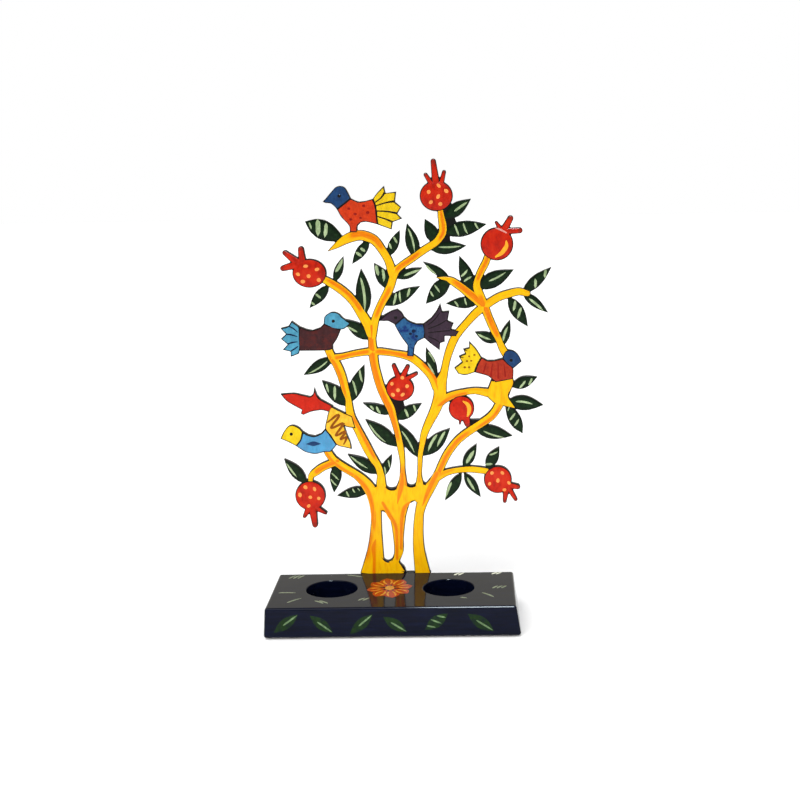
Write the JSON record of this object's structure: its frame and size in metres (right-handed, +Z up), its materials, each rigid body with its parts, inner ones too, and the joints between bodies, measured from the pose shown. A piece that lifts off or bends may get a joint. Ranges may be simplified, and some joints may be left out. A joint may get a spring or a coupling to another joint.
{
  "type": "tree of life candle holder",
  "caption": "Table candle holder: a flat painted tree of life with birds and pomegranates stands behind a lacquered block with round tea-light wells.",
  "frame": {"origin": "on the table, under the middle of the whole piece's bounding box", "axes": "+Z up, +X to the viewer's right along the block, +Y from the front of the block to the tree panel; the painted front faces -Y"},
  "size_m": [0.2166, 0.085, 0.3452],
  "materials": {
    "block_lacquer": "clear gloss lacquer over dark navy paint, with thin painted leaves and rosettes",
    "panel_paint": "hand-painted yellow limbs, dark green leaves, red fruits and birds, dark edges, under clear gloss lacquer",
    "screw_steel": "zinc-plated, satin",
    "felt": "pressed charcoal felt"
  },
  "bodies": {
    "root": {"base_block": "block_lacquer", "tree_panel": "panel_paint", "screw_left": "screw_steel", "screw_middle": "screw_steel", "screw_right": "screw_steel", "pad_front_left": "felt", "pad_front_right": "felt", "pad_back_left": "felt", "pad_back_right": "felt"}
  },
  "joints": []
}
